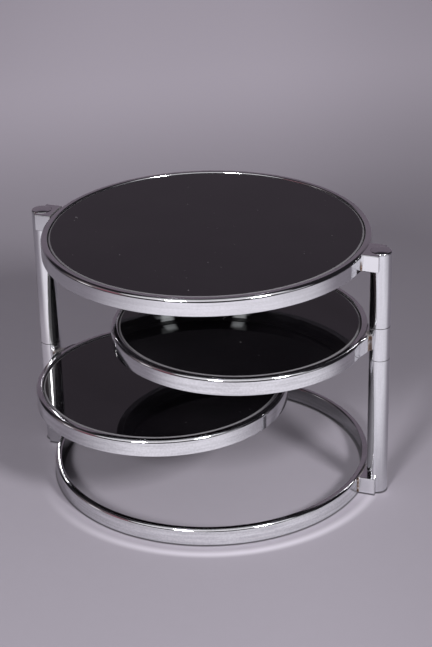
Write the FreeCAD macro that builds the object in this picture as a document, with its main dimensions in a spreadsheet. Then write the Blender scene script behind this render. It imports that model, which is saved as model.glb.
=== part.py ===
import FreeCAD, Part
import math
import os

import Sketcher
from FreeCAD import Placement, Rotation, Vector

# Tiered side table. Two fixed rings of chromed tube, one on the floor and one
# at the top, are joined by two posts that stand just outside them. Each post
# is a stack: lower tube, swivel sleeve, upper tube. A core tube and a tie rod
# run through the stack. The right sleeve carries the middle tier, the left
# sleeve the lower tier, and each tier turns all the way round on its post.
#
# The frame: origin on the floor, midway between the posts. X runs through both
# post axes, the right post is at +X, Z is up. Millimetres and degrees.

SIZES = (
    # rings
    ("fixed_ring_diameter", "600", "outside of the top and base rings"),
    ("tier_ring_diameter", "470", "outside of the two swivelling rings"),
    ("ring_height", "32", "height of the ring tube"),
    ("ring_width", "12.5", "radial width of the ring tube"),
    ("ring_wall", "1.5", "wall of the ring tube"),
    ("ring_crown", "5", "radius of the upper outer edge of the ring tube"),
    ("ring_edge", "1.2", "bevel of the other edges of the ring tube"),
    # levels
    ("glide_height", "2", "floor to underside of the base ring"),
    ("outer_gap", "129.5", "clear height below the lower and above the middle tier"),
    ("inner_gap", "95.5", "clear height between the two tiers"),
    # glass and what carries it
    ("glass_thickness", "6", "plate glass"),
    ("glass_drop", "1.5", "glass surface below the top of its ring"),
    ("glass_clearance", "2", "gap between the glass and its ring all round"),
    ("glass_bevel", "3", "width of the bevel round the glass"),
    ("glass_bevel_drop", "1.4", "depth of that bevel"),
    ("pad_thickness", "1.5", "vinyl pad under the glass"),
    ("pad_diameter", "9", "vinyl pad under the glass"),
    ("ledge_width", "14", "flat ring on which the pads lie"),
    ("ledge_thickness", "2", "flat ring on which the pads lie"),
    # posts
    ("post_gap", "8.5", "between a fixed ring and a post"),
    ("post_diameter", "38", "outside of the post tubes and sleeves"),
    ("post_wall", "1.5", "wall of the post tubes and sleeves"),
    ("post_floor_gap", "3", "floor to the bottom of the post tubes"),
    ("post_top_drop", "3", "post tube end below the top of the top ring"),
    ("core_diameter", "30", "core tube inside each post"),
    ("core_wall", "2", "wall of the core tube"),
    ("rod_diameter", "8", "tie rod"),
    ("fit_clearance", "0.05", "radial gap of a close fit between fixed pieces"),
    # swivels
    ("sleeve_height", "63.5", "tube that turns with a tier"),
    ("flange_thickness", "1", "bush flange, seen as a thin seam"),
    ("flange_inset", "0.5", "bush flange inside the outer skin of the post"),
    ("bush_length", "16", "part of the bush inside the sleeve"),
    ("turning_clearance", "0.08", "radial gap between bush and core tube"),
    ("swivel_play", "0.2", "gap above the upper bush flange"),
    ("middle_swing", "5.1", "middle tier at rest, turned towards -Y"),
    ("lower_swing", "12.6", "lower tier at rest, turned towards -Y"),
    # brackets
    ("fixed_bracket_width", "56", "block between a fixed ring and its post"),
    ("fixed_bracket_wrap", "3", "how far that block reaches past the post axis"),
    ("tier_bracket_grip", "35.4", "half the angle that a tier bracket covers on its sleeve"),
    ("tier_bracket_foot", "14.5", "half the angle that a tier bracket covers on its ring"),
    ("tier_bracket_bite", "2", "how far its flanks run on into the ring"),
    ("tier_bracket_reach", "24.5", "tier ring to sleeve axis"),
    ("bracket_edge", "1.5", "rounding of the bracket edges"),
    # post ends
    ("cap_rim", "4", "straight height of the cap above the post tube"),
    ("cap_dome", "2", "rise of the cap above its rim"),
    ("cap_round", "2.4", "radius between rim and dome"),
    ("cap_spigot", "8", "each step of the spigot inside the post"),
    ("rod_engagement", "12", "thread of the tie rod inside the cap"),
    ("collar_length", "12", "ring between post tube and core tube"),
    ("plug_inset", "10", "foot plug above the bottom of the post tube"),
    ("plug_thickness", "6", "foot plug"),
    ("plug_spigot", "8", "foot plug inside the core tube"),
    ("nut_height", "6.5", "nut under the foot plug"),
    ("nut_across_flats", "13", "nut under the foot plug"),
    ("washer_thickness", "1.6", "washer under the foot plug"),
    ("washer_diameter", "17", "washer under the foot plug"),
    ("rod_tail", "0.9", "tie rod below the nut"),
    ("glide_diameter", "10", "head of a glide under the base ring"),
    ("stem_diameter", "5", "stem of a glide, up into the ring tube"),
    ("stem_length", "9", "stem of a glide, up into the ring tube"),
    ("drain_diameter", "6", "plating drain hole under each upper ring"),
)

GLIDE_COUNT = 4
GLIDE_ANGLE = 45
DRAIN_COUNT = 2
DRAIN_ANGLE = 90
PAD_COUNT = 4
PAD_ANGLE = 45

doc = FreeCAD.newDocument("TieredSideTable")
sheet = doc.addObject("Spreadsheet::Sheet", "Sizes")


class Measure:
    """A size that carries its value and the spreadsheet expression that gives it."""

    def __init__(self, value, text):
        self.value = value
        self.text = text

    def joined(self, sign, value, other):
        return Measure(value, "(%s %s %s)" % (self.text, sign, other.text))

    def __add__(self, other):
        return self.joined("+", self.value + other.value, other)

    def __sub__(self, other):
        return self.joined("-", self.value - other.value, other)

    def __mul__(self, factor):
        return Measure(self.value * factor, "(%s * %.9f)" % (self.text, factor))

    def __truediv__(self, divisor):
        return Measure(self.value / divisor, "(%s / %d)" % (self.text, divisor))

    def times(self, other):
        return self.joined("*", self.value * other.value, other)

    def cosine(self):
        return Measure(math.cos(math.radians(self.value)), "cos(%s * 1 deg)" % self.text)

    def sine(self):
        return Measure(math.sin(math.radians(self.value)), "sin(%s * 1 deg)" % self.text)


def write_sizes():
    """Fill the spreadsheet and give each size back as a Measure."""
    sizes = {}
    for row, (alias, number, note) in enumerate(SIZES, start=1):
        sheet.set("A%d" % row, alias)
        sheet.set("B%d" % row, number)
        sheet.set("C%d" % row, note)
        sheet.setAlias("B%d" % row, alias)
        sizes[alias] = Measure(float(number), "Sizes.%s" % alias)
    doc.recompute()
    return sizes


S = write_sizes()
ZERO = Measure(0.0, "0")
FULL_TURN = 360
INTO_SLEEVE = 0.06  # share of a flank that is drawn on into the sleeve, where the cope takes it off

# Levels, from the floor up. Each ring's level is that of its underside.
base_level = S["glide_height"]
base_top = base_level + S["ring_height"]
lower_level = base_top + S["outer_gap"]
middle_level = lower_level + S["ring_height"] + S["inner_gap"]
top_level = middle_level + S["ring_height"] + S["outer_gap"]
top_of_rings = top_level + S["ring_height"]

fixed_radius = S["fixed_ring_diameter"] / 2
tier_radius = S["tier_ring_diameter"] / 2
post_radius = S["post_diameter"] / 2
post_x = fixed_radius + S["post_gap"] + post_radius
post_bore = post_radius - S["post_wall"]
core_radius = S["core_diameter"] / 2
core_bore = core_radius - S["core_wall"]
rod_radius = S["rod_diameter"] / 2

# The glass lies on pads, the pads lie on the ledge, all measured down from the
# top of the ring that holds them.
glass_underside = S["ring_height"] - S["glass_drop"] - S["glass_thickness"]
pad_underside = glass_underside - S["pad_thickness"]
ledge_underside = pad_underside - S["ledge_thickness"]

# The posts, from the floor up.
tube_bottom = S["post_floor_gap"]
tube_top = top_of_rings - S["post_top_drop"]
plug_level = tube_bottom + S["plug_inset"]
core_bottom = plug_level + S["plug_thickness"]
core_top = tube_top - S["cap_spigot"]
washer_level = plug_level - S["washer_thickness"]
nut_level = washer_level - S["nut_height"]
rod_bottom = nut_level - S["rod_tail"]
rod_top = core_top - S["cap_spigot"] + S["rod_engagement"]

subparts = []


def register(item, name):
    """Name a finished sub-part and list it for export."""
    item.Label = name
    subparts.append(item)
    return item


def bind(item, prop, measure):
    item.setExpression(prop, measure.text)


def place(item, x=ZERO, y=ZERO, z=ZERO, turn=ZERO):
    """Put an object at x, y, z and turn it about the vertical."""
    item.Placement = Placement(Vector(x.value, y.value, z.value), Rotation(Vector(0, 0, 1), turn.value))
    bind(item, "Placement.Base.x", x)
    bind(item, "Placement.Base.y", y)
    bind(item, "Placement.Base.z", z)
    if turn is not ZERO:
        bind(item, "Placement.Rotation.Angle", turn)


# Sketches ------------------------------------------------------------------


def new_body(name):
    return doc.addObject("PartDesign::Body", name)


def new_sketch(body, name, role):
    """A sketch on one of the body's own origin planes."""
    sketch = body.newObject("Sketcher::SketchObject", name)
    support = next(item for item in body.Origin.OriginFeatures if item.Role == role)
    sketch.AttachmentSupport = [(support, "")]
    sketch.MapMode = "FlatFace"
    return sketch


def pin(sketch, geometry, corner, x, y):
    """Hold one point of the sketch at x, y from the origin, bound to the sheet."""
    for kind, measure in (("DistanceX", x), ("DistanceY", y)):
        index = sketch.addConstraint(Sketcher.Constraint(kind, -1, 1, geometry, corner, measure.value))
        name = "%s%d" % (kind, index)
        sketch.renameConstraint(index, name)
        bind(sketch, "Constraints.%s" % name, measure)


def bind_radius(sketch, geometry, radius):
    index = sketch.addConstraint(Sketcher.Constraint("Radius", geometry, radius.value))
    name = "Radius%d" % index
    sketch.renameConstraint(index, name)
    bind(sketch, "Constraints.%s" % name, radius)


def draw_circle(sketch, x, y, radius):
    circle = Part.Circle(Vector(x.value, y.value, 0), Vector(0, 0, 1), radius.value)
    geometry = sketch.addGeometry(circle)
    pin(sketch, geometry, 3, x, y)
    bind_radius(sketch, geometry, radius)


def draw_outline(sketch, corners, arcs=None):
    """A closed outline through the corners.

    arcs gives the radius and a point on the way for each side that is an arc,
    by the number of the corner where that side starts.
    """
    arcs = arcs or {}
    points = [Vector(x.value, y.value, 0) for x, y in corners]
    starts = []
    ends = []
    for number, start in enumerate(points):
        end = points[(number + 1) % len(points)]
        if number in arcs:
            radius, (way_x, way_y) = arcs[number]
            side = Part.Arc(start, Vector(way_x.value, way_y.value, 0), end)
        else:
            radius = None
            side = Part.LineSegment(start, end)
        geometry = sketch.addGeometry(side)
        forward = sketch.getPoint(geometry, 1).distanceToPoint(start) < 1e-6
        starts.append((geometry, 1 if forward else 2))
        ends.append((geometry, 2 if forward else 1))
        if radius is not None:
            bind_radius(sketch, geometry, radius)
    for number, end in enumerate(ends):
        sketch.addConstraint(Sketcher.Constraint("Coincident", *end, *starts[(number + 1) % len(starts)]))
    for (geometry, corner), (x, y) in zip(starts, corners):
        pin(sketch, geometry, corner, x, y)


def revolve(body, sketch):
    """Turn a profile that is drawn in the XZ plane once round the Z axis."""
    feature = body.newObject("PartDesign::Revolution", body.Name + "_turned")
    feature.Profile = sketch
    feature.ReferenceAxis = (sketch, ["V_Axis"])
    feature.Angle = FULL_TURN
    return feature


def pad(body, sketch, length):
    feature = body.newObject("PartDesign::Pad", body.Name + "_pad")
    feature.Profile = sketch
    bind(feature, "Length", length)
    return feature


def cut_through(body, sketch):
    """Cut the sketch's outline out of the whole height of the body."""
    doc.recompute()
    before = body.Shape.Volume
    feature = body.newObject("PartDesign::Pocket", body.Name + "_" + sketch.Name)
    feature.Profile = sketch
    feature.Type = "ThroughAll"
    feature.Reversed = True
    doc.recompute()
    if body.Shape.Volume >= before:
        raise RuntimeError("%s cuts nothing" % feature.Name)
    return feature


def drill_underside(body, count, angle, circle_radius, hole_radius, depth):
    """Holes on a circle, from the body's local zero up through a lower wall."""
    doc.recompute()
    before = body.Shape.Volume
    sketch = new_sketch(body, body.Name + "_hole_plan", "XY_Plane")
    turn = math.radians(angle)
    draw_circle(sketch, circle_radius * math.cos(turn), circle_radius * math.sin(turn), hole_radius)
    hole = body.newObject("PartDesign::Pocket", body.Name + "_hole")
    hole.Profile = sketch
    hole.Type = "Length"
    hole.Reversed = True
    bind(hole, "Length", depth)
    pattern = body.newObject("PartDesign::PolarPattern", body.Name + "_holes")
    pattern.Originals = [hole]
    pattern.Axis = (sketch, ["N_Axis"])
    pattern.Angle = FULL_TURN
    pattern.Occurrences = count
    body.Tip = pattern
    doc.recompute()
    if body.Shape.Volume >= before:
        raise RuntimeError("%s drills nothing" % pattern.Name)
    return pattern


def round_edges(body, radius, chosen):
    """Round the edges of the body's tip for which chosen(edge) is true."""
    doc.recompute()
    base = body.Tip
    names = ["Edge%d" % n for n, edge in enumerate(base.Shape.Edges, start=1) if chosen(edge)]
    feature = body.newObject("PartDesign::Fillet", body.Name + "_rounding")
    feature.Base = (base, names)
    bind(feature, "Radius", radius)
    return feature


# Round pieces ---------------------------------------------------------------


def tube_profile_corners(inner, outer, bottom, top, crown, edge):
    """The section of the ring tube: a rectangle whose upper outer edge is an arc.

    The other three edges have a small bevel.
    """
    corners = [
        (inner + edge, bottom),
        (outer - edge, bottom),
        (outer, bottom + edge),
        (outer, top - crown),
        (outer - crown, top),
        (inner + edge, top),
        (inner, top - edge),
        (inner, bottom + edge),
    ]
    half_way = math.cos(math.radians(45))
    way = (outer - crown + crown * half_way, top - crown + crown * half_way)
    return corners, {3: (crown, way)}


def add_ring(name, radius, x, y, level, hole_count, hole_angle, hole_radius):
    """One of the four table rings: a tube of rectangular section, bent round.

    The holes in its lower wall take the glides or drain the plating bath.
    """
    body = new_body(name)
    sketch = new_sketch(body, name + "_section", "XZ_Plane")
    inner = radius - S["ring_width"]
    wall = S["ring_wall"]
    draw_outline(sketch, *tube_profile_corners(
        inner, radius, ZERO, S["ring_height"], S["ring_crown"], S["ring_edge"]))
    draw_outline(sketch, *tube_profile_corners(
        inner + wall, radius - wall, wall, S["ring_height"] - wall,
        S["ring_crown"] - wall, S["ring_edge"] / 2))
    revolve(body, sketch)
    drill_underside(body, hole_count, hole_angle, radius - S["ring_width"] / 2, hole_radius, wall * 2)
    place(body, x, y, level)
    return register(body, name)


def add_ledge(name, radius, x, y, level):
    """The flat ring inside a table ring that carries the glass."""
    body = new_body(name)
    sketch = new_sketch(body, name + "_section", "XZ_Plane")
    outer = radius - S["ring_width"]
    inner = outer - S["ledge_width"]
    draw_outline(sketch, [(inner, ZERO), (outer, ZERO),
                          (outer, S["ledge_thickness"]), (inner, S["ledge_thickness"])])
    revolve(body, sketch)
    place(body, x, y, level + ledge_underside)
    return register(body, name)


def add_glass(name, radius, x, y, level):
    """A round plate with a bevel round its upper edge and an arris below."""
    body = new_body(name)
    sketch = new_sketch(body, name + "_section", "XZ_Plane")
    rim = radius - S["ring_width"] - S["glass_clearance"]
    thickness = S["glass_thickness"]
    arris = S["glass_bevel_drop"] / 2
    draw_outline(sketch, [
        (ZERO, ZERO),
        (rim - arris, ZERO),
        (rim, arris),
        (rim, thickness - S["glass_bevel_drop"]),
        (rim - S["glass_bevel"], thickness),
        (ZERO, thickness),
    ])
    revolve(body, sketch)
    place(body, x, y, level + glass_underside)
    return register(body, name)


def add_tube(name, outer, bore, x, bottom, top, y=ZERO):
    """A straight vertical tube."""
    body = new_body(name)
    sketch = new_sketch(body, name + "_section", "XY_Plane")
    draw_circle(sketch, ZERO, ZERO, outer)
    draw_circle(sketch, ZERO, ZERO, bore)
    pad(body, sketch, top - bottom)
    place(body, x, y, bottom)
    return register(body, name)


def add_rod(name, x):
    body = new_body(name)
    sketch = new_sketch(body, name + "_section", "XY_Plane")
    draw_circle(sketch, ZERO, ZERO, rod_radius)
    pad(body, sketch, rod_top - rod_bottom)
    place(body, x, ZERO, rod_bottom)
    return register(body, name)


def add_cap(name, x):
    """The domed end of a post: a rim, a dome, and a stepped spigot below.

    Its local zero is the end of the post tube.
    """
    body = new_body(name)
    sketch = new_sketch(body, name + "_section", "XZ_Plane")
    spigot = post_bore - S["fit_clearance"]
    pilot = core_bore - S["fit_clearance"]
    step = S["cap_spigot"]
    rounding = S["cap_round"]
    shoulder = S["cap_rim"] - rounding
    crown_radius = post_radius - rounding
    rise = S["cap_dome"]
    # radius of the shallow dome over the circle of crown_radius
    dome = Measure(
        (crown_radius.value ** 2 + rise.value ** 2) / (2 * rise.value),
        "((%s ^ 2 + %s ^ 2) / (2 * %s))" % (crown_radius.text, rise.text, rise.text))
    half_way = math.cos(math.radians(45))
    thread_depth = S["rod_engagement"] + S["fit_clearance"]
    corners = [
        (ZERO, thread_depth - step * 2),
        (rod_radius + S["fit_clearance"], thread_depth - step * 2),
        (rod_radius + S["fit_clearance"], step * -2),
        (pilot, step * -2),
        (pilot, step * -1),
        (spigot, step * -1),
        (spigot, ZERO),
        (post_radius, ZERO),
        (post_radius, shoulder),
        (crown_radius, S["cap_rim"]),
        (ZERO, S["cap_rim"] + rise),
    ]
    corner_way = (crown_radius + rounding * half_way, shoulder + rounding * half_way)
    dome_way_x = crown_radius / 2
    sagitta = math.sqrt(dome.value ** 2 - dome_way_x.value ** 2) - dome.value
    dome_way = (dome_way_x, S["cap_rim"] + rise + Measure(sagitta, "%.9f" % sagitta))
    draw_outline(sketch, corners, {8: (rounding, corner_way), 9: (dome, dome_way)})
    revolve(body, sketch)
    place(body, x, ZERO, tube_top)
    return register(body, name)


def add_foot_plug(name, x):
    """A turned disc in the lower end of a post, with a spigot for the core tube."""
    body = new_body(name)
    sketch = new_sketch(body, name + "_section", "XZ_Plane")
    hole = rod_radius + S["fit_clearance"]
    disc = post_bore - S["fit_clearance"]
    pilot = core_bore - S["fit_clearance"]
    top_of_spigot = S["plug_thickness"] + S["plug_spigot"]
    draw_outline(sketch, [
        (hole, ZERO),
        (disc, ZERO),
        (disc, S["plug_thickness"]),
        (pilot, S["plug_thickness"]),
        (pilot, top_of_spigot),
        (hole, top_of_spigot),
    ])
    revolve(body, sketch)
    place(body, x, ZERO, plug_level)
    return register(body, name)


def add_bush(name, x, level, flange_up):
    """A flanged nylon bush in one end of a sleeve.

    Its local zero is the end of the sleeve. The flange lies outside the sleeve
    and the long part inside it.
    """
    body = new_body(name)
    sketch = new_sketch(body, name + "_section", "XZ_Plane")
    sign = 1 if flange_up else -1
    bore = core_radius + S["turning_clearance"]
    skin = post_bore - S["fit_clearance"]
    flange = post_radius - S["flange_inset"]
    draw_outline(sketch, [
        (bore, S["bush_length"] * -sign),
        (skin, S["bush_length"] * -sign),
        (skin, ZERO),
        (flange, ZERO),
        (flange, S["flange_thickness"] * sign),
        (bore, S["flange_thickness"] * sign),
    ])
    revolve(body, sketch)
    place(body, x, ZERO, level)
    return register(body, name)


# Brackets -------------------------------------------------------------------


def block_corners(ring_radius, axis_distance, width, wrap):
    """The plan of a straight block that reaches to wrap beyond the post axis."""
    start = ring_radius - S["ring_width"]
    end = axis_distance + wrap
    half = width / 2
    return [(start, half * -1), (end, half * -1), (end, half), (start, half)]


def flared_corners(ring_radius, axis_distance):
    """The plan of a bracket whose flanks spread from the sleeve until they graze the ring."""
    seat_x = axis_distance - post_radius.times(S["tier_bracket_grip"].cosine())
    seat_y = post_radius.times(S["tier_bracket_grip"].sine())
    foot_radius = ring_radius - S["tier_bracket_bite"]
    foot_x = foot_radius.times(S["tier_bracket_foot"].cosine())
    foot_y = foot_radius.times(S["tier_bracket_foot"].sine())
    end_x = seat_x + (seat_x - foot_x) * INTO_SLEEVE
    end_y = seat_y + (seat_y - foot_y) * INTO_SLEEVE
    return [(foot_x, foot_y * -1), (end_x, end_y * -1), (end_x, end_y), (foot_x, foot_y)]


def add_bracket(name, ring_radius, axis_distance, corners, upper_round, x, y, level, turn):
    """A bracket between a ring and a post, coped to both.

    It is drawn about the centre of its ring, with the post on its X axis at
    axis_distance.
    """
    body = new_body(name)
    plan = new_sketch(body, name + "_plan", "XY_Plane")
    draw_outline(plan, corners)
    pad(body, plan, S["ring_height"])
    outer_end = corners[1][0].value - 1e-3
    upper_level = S["ring_height"].value - 1e-3

    def is_long(edge):
        return abs(edge.Vertexes[0].X - edge.Vertexes[-1].X) > 1

    def is_outer(edge):
        """The long edges of the bracket and those of its outer end."""
        return is_long(edge) or edge.CenterOfMass.x > outer_end

    def is_upper(edge):
        return is_outer(edge) and edge.CenterOfMass.z > upper_level

    def is_lower(edge):
        return is_outer(edge) and edge.CenterOfMass.z < 1e-3

    if upper_round is None:
        round_edges(body, S["bracket_edge"], is_outer)
    else:
        round_edges(body, upper_round, is_upper)
        round_edges(body, S["bracket_edge"], is_lower)
    saddle = new_sketch(body, name + "_saddle", "XY_Plane")
    draw_circle(saddle, axis_distance, ZERO, post_radius)
    cut_through(body, saddle)
    ring_side = new_sketch(body, name + "_ring_side", "XY_Plane")
    draw_circle(ring_side, ZERO, ZERO, ring_radius)
    cut_through(body, ring_side)
    place(body, x, y, level, turn)
    return register(body, name)


# Groups of like pieces ------------------------------------------------------


def add_group(name, items):
    group = doc.addObject("Part::Compound", name)
    group.Links = items
    return register(group, name)


def add_disc_circle(name, count, circle_radius, x, y, level, diameter, thickness, first_angle):
    """Equal discs on a circle, flat side down."""
    discs = []
    for number in range(count):
        angle = math.radians(first_angle + number * FULL_TURN / count)
        disc = doc.addObject("Part::Cylinder", "%s_%d" % (name, number + 1))
        bind(disc, "Radius", diameter / 2)
        bind(disc, "Height", thickness)
        place(disc, x + circle_radius * math.cos(angle), y + circle_radius * math.sin(angle), level)
        discs.append(disc)
    return add_group(name, discs)


def add_glides(name, count, first_angle, circle_radius):
    """Glides on a circle: each a flat head on the floor with a stem above it."""
    glides = []
    for number in range(count):
        angle = math.radians(first_angle + number * FULL_TURN / count)
        x = circle_radius * math.cos(angle)
        y = circle_radius * math.sin(angle)
        head = doc.addObject("Part::Cylinder", "%s_head_%d" % (name, number + 1))
        bind(head, "Radius", S["glide_diameter"] / 2)
        bind(head, "Height", S["glide_height"])
        place(head, x, y, ZERO)
        stem = doc.addObject("Part::Cylinder", "%s_stem_%d" % (name, number + 1))
        bind(stem, "Radius", S["stem_diameter"] / 2)
        bind(stem, "Height", S["glide_height"] + S["stem_length"])
        place(stem, x, y, ZERO)
        glide = doc.addObject("Part::Fuse", "%s_%d" % (name, number + 1))
        glide.Base = head
        glide.Tool = stem
        glides.append(glide)
    return add_group(name, glides)


def drilled(name, blank, bore, height, x, level):
    """A blank with a plain hole down its axis."""
    hole = doc.addObject("Part::Cylinder", name + "_hole")
    bind(hole, "Radius", bore)
    bind(hole, "Height", height)
    place(hole, x, ZERO, level)
    place(blank, x, ZERO, level)
    piece = doc.addObject("Part::Cut", name)
    piece.Base = blank
    piece.Tool = hole
    return piece


def add_nuts(name, places):
    nuts = []
    for number, x in enumerate(places, start=1):
        blank = doc.addObject("Part::Prism", "%s_blank_%d" % (name, number))
        blank.Polygon = 6
        bind(blank, "Circumradius", S["nut_across_flats"] * (0.5 / math.cos(math.radians(30))))
        bind(blank, "Height", S["nut_height"])
        nuts.append(drilled("%s_%d" % (name, number), blank, rod_radius + S["fit_clearance"],
                            S["nut_height"], x, nut_level))
    return add_group(name, nuts)


def add_rings_round(name, outer, bore, height, places):
    """Equal plain rings at the given x and level."""
    rings = []
    for number, (x, level) in enumerate(places, start=1):
        blank = doc.addObject("Part::Cylinder", "%s_blank_%d" % (name, number))
        bind(blank, "Radius", outer)
        bind(blank, "Height", height)
        rings.append(drilled("%s_%d" % (name, number), blank, bore, height, x, level))
    return add_group(name, rings)


# The table ------------------------------------------------------------------


def add_top(prefix, radius, x, y, level):
    """Ring, ledge, pads and glass of one table top."""
    add_ring(prefix + "_ring", radius, x, y, level, DRAIN_COUNT, DRAIN_ANGLE, S["drain_diameter"] / 2)
    add_ledge(prefix + "_ledge", radius, x, y, level)
    pad_circle = radius - S["ring_width"] - S["ledge_width"] / 2
    add_disc_circle(prefix + "_glass_pads", PAD_COUNT, pad_circle, x, y, level + pad_underside,
                    S["pad_diameter"], S["pad_thickness"], PAD_ANGLE)
    add_glass(prefix + "_glass", radius, x, y, level)


def add_frame():
    """The fixed rings and the four brackets that hold them to the posts."""
    stem_hole = S["stem_diameter"] / 2 + S["fit_clearance"]
    add_ring("base_ring", fixed_radius, ZERO, ZERO, base_level, GLIDE_COUNT, GLIDE_ANGLE, stem_hole)
    add_glides("floor_glides", GLIDE_COUNT, GLIDE_ANGLE, fixed_radius - S["ring_width"] / 2)
    add_top("top", fixed_radius, ZERO, ZERO, top_level)
    for side, turn in (("right", ZERO), ("left", Measure(180.0, "180"))):
        for place_name, level in (("top", top_level), ("base", base_level)):
            corners = block_corners(fixed_radius, post_x, S["fixed_bracket_width"], S["fixed_bracket_wrap"])
            add_bracket("%s_bracket_%s" % (place_name, side), fixed_radius, post_x, corners, None,
                        ZERO, ZERO, level, turn)


def add_post(side, x, tier_level, tier):
    """One post with the sleeve that carries the named tier."""
    sleeve_bottom = tier_level + (S["ring_height"] - S["sleeve_height"]) / 2
    sleeve_top = sleeve_bottom + S["sleeve_height"]
    lower_end = sleeve_bottom - S["flange_thickness"]
    upper_end = sleeve_top + S["flange_thickness"] + S["swivel_play"]
    add_tube(side + "_lower_tube", post_radius, post_bore, x, tube_bottom, lower_end)
    add_tube(side + "_upper_tube", post_radius, post_bore, x, upper_end, tube_top)
    add_tube(side + "_core_tube", core_radius, core_bore, x, core_bottom, core_top)
    add_rings_round(side + "_collars", post_bore - S["fit_clearance"], core_radius + S["fit_clearance"],
                    S["collar_length"], [(x, lower_end - S["collar_length"]), (x, upper_end)])
    add_rod(side + "_tie_rod", x)
    add_cap(side + "_cap", x)
    add_foot_plug(side + "_foot_plug", x)
    add_tube(tier + "_sleeve", post_radius, post_bore, x, sleeve_bottom, sleeve_top)
    add_bush(tier + "_upper_bush", x, sleeve_top, True)
    add_bush(tier + "_lower_bush", x, sleeve_bottom, False)


def add_tier(prefix, post, swing, level, turn_sign):
    """A swivelling tier. turn_sign is 1 on the right post and -1 on the left."""
    arm = tier_radius + S["tier_bracket_reach"]
    x = post - arm.times(swing.cosine()) * turn_sign
    y = ZERO - arm.times(swing.sine())
    add_top(prefix, tier_radius, x, y, level)
    facing = Measure(0.0, "0") if turn_sign > 0 else Measure(180.0, "180")
    turn = facing + swing * turn_sign
    corners = flared_corners(tier_radius, arm)
    add_bracket(prefix + "_bracket", tier_radius, arm, corners, S["ring_crown"], x, y, level, turn)


add_frame()
add_post("right", post_x, middle_level, "middle")
add_post("left", post_x * -1, lower_level, "lower")
add_nuts("tie_rod_nuts", (post_x, post_x * -1))
add_rings_round("tie_rod_washers", S["washer_diameter"] / 2, rod_radius + S["fit_clearance"],
                S["washer_thickness"], [(post_x, washer_level), (post_x * -1, washer_level)])
add_tier("middle", post_x, S["middle_swing"], middle_level, 1)
add_tier("lower", post_x * -1, S["lower_swing"], lower_level, -1)

doc.recompute()

for item in doc.Objects:
    if "Invalid" in item.State or "Error" in item.State:
        raise RuntimeError("%s did not build: %s" % (item.Name, item.State))
for item in subparts:
    if item.Shape.isNull() or not item.Shape.isValid():
        raise RuntimeError("%s has no valid shape" % item.Label)

os.makedirs("parts", exist_ok=True)
for item in subparts:
    item.Shape.exportStep("parts/%s.step" % item.Label)
print("wrote %d sub-parts" % len(subparts))
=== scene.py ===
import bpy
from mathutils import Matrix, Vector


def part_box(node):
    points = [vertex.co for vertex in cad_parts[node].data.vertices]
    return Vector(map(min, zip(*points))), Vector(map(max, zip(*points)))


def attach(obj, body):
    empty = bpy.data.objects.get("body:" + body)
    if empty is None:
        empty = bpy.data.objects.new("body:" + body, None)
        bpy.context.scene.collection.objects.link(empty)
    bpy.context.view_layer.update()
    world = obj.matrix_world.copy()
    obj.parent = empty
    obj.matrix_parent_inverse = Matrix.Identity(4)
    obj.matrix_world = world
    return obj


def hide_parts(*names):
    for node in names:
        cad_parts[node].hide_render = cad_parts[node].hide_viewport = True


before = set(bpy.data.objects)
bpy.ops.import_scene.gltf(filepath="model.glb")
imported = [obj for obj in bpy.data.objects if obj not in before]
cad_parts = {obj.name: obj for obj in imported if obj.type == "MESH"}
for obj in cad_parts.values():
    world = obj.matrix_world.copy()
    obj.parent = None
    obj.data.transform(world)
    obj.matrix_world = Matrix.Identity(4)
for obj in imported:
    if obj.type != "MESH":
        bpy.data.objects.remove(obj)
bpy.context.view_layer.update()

import logging
import math
from dataclasses import dataclass, replace
from enum import Enum
from functools import reduce
from typing import Callable, ClassVar, Optional, Sequence, Union

import bmesh
import bpy
from mathutils import Matrix, Vector

LOG = logging.getLogger("side_table")
MM = 0.001
CLOSE = 0.01 * MM
STRAIGHT = 0.99
BLACK = (0.0, 0.0, 0.0)
WHITE = (1.0, 1.0, 1.0)

Colour = tuple[float, float, float]
Plan = tuple[float, float]
Band = tuple[float, float]
Steps = tuple[int, int, int, int]
Number = Union[float, "Signal"]
Tone = Union[Colour, "Signal"]
Settings = Optional[dict[str, object]]
Sockets = Optional[dict[Union[str, int], object]]
EdgeTest = Callable[[bmesh.types.BMEdge], bool]


def direction_of(azimuth: float, elevation: float = 0.0) -> Vector:
    """Return the direction so many degrees counter-clockwise from the right post and above the floor."""
    turn, lift = math.radians(azimuth), math.radians(elevation)
    return Vector((math.cos(turn) * math.cos(lift), math.sin(turn) * math.cos(lift), math.sin(lift)))


def cone(spread: float, core: float) -> Band:
    """Return the cosines of a cone's half angle, in degrees, and of the share of it that is its core."""
    return (math.cos(math.radians(spread)), math.cos(math.radians(spread * core)))


# Shader expressions


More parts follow.
